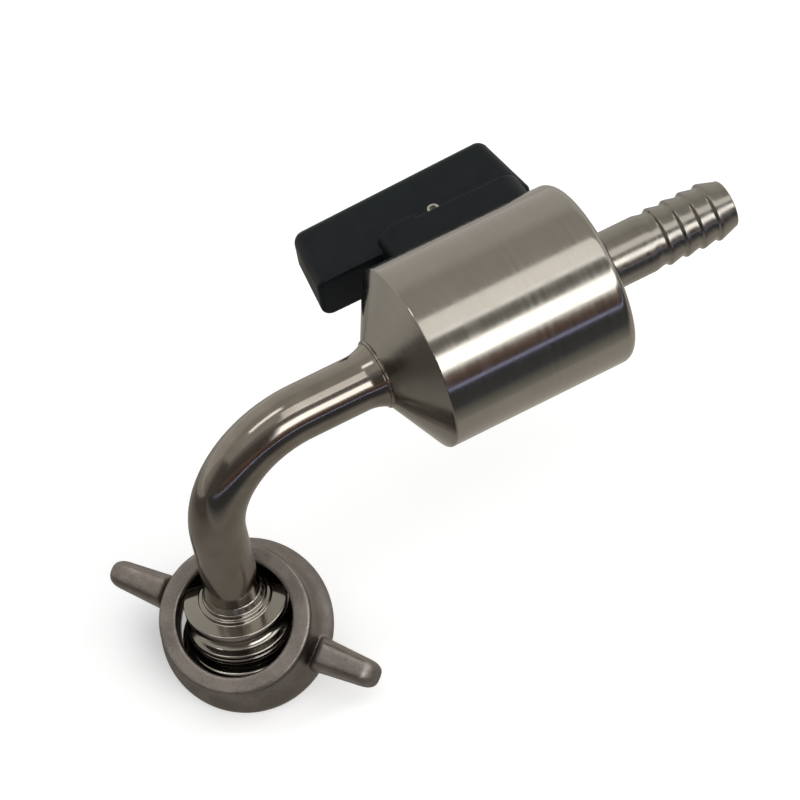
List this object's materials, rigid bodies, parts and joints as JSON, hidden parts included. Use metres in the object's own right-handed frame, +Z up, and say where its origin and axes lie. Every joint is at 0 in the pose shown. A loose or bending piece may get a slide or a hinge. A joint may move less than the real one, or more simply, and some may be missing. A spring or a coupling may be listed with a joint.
{
  "type": "elbow valve",
  "caption": "Stainless elbow ball valve for a drinks line, with a loose wing nut on its tail, a ribbed hose barb and a black lever handle.",
  "frame": {"origin": "centre of the sealing face at the coupling end, on the axis of the tail", "axes": "+Z up the tail away from the coupling, +X along the valve's bore towards the hose barb, +Y along the stem towards the handle"},
  "size_m": [0.1209, 0.0567, 0.0755],
  "materials": {
    "satin_steel": "satin turned stainless steel",
    "turned_steel": "fine turned stainless steel",
    "polished_steel": "polished stainless steel",
    "weld_steel": "brushed weld bead",
    "cast_steel": "bead blasted stainless casting",
    "spring_steel": "plain",
    "screw_steel": "plain",
    "black_plastic": "fine moulded grain",
    "white_seat": "smooth low-friction plastic",
    "black_rubber": "smooth"
  },
  "bodies": {
    "valve": {"valve_body": "satin_steel", "end_plug": "satin_steel", "plug_oring": "black_rubber", "hose_barb": "turned_steel", "seat_inlet": "white_seat", "seat_outlet": "white_seat", "stop_pin": "screw_steel", "elbow_tube": "polished_steel", "neck_ferrule": "turned_steel", "neck_weld": "weld_steel", "tail_weld": "weld_steel", "tail_piece": "turned_steel", "seal_washer": "black_rubber"},
    "lever": {"handle": "black_plastic", "set_screw": "screw_steel", "stem": "turned_steel", "stem_orings": "black_rubber", "thrust_washer": "white_seat", "ball": "polished_steel"},
    "ring": {"slip_ring": "spring_steel"},
    "nut": {"wing_nut": "cast_steel"}
  },
  "joints": [
    {"name": "handle_turn", "type": "hinge", "parent": "valve", "child": "lever", "pos_m": [0.0596, 0, 0.0506], "axis": [0, 1, 0], "range_deg": [0, 90]},
    {"name": "nut_tilt", "type": "hinge", "parent": "valve", "child": "ring", "pos_m": [0.00295, 0.00459, 0.00729], "axis": [-0.8415, 0.5402, 0], "range_deg": [0, 31.5]},
    {"name": "nut_spin", "type": "hinge", "parent": "ring", "child": "nut", "pos_m": [-0.00205, -0.0032, 0.01195], "axis": [0.2823, 0.4397, -0.8526], "continuous": true}
  ]
}
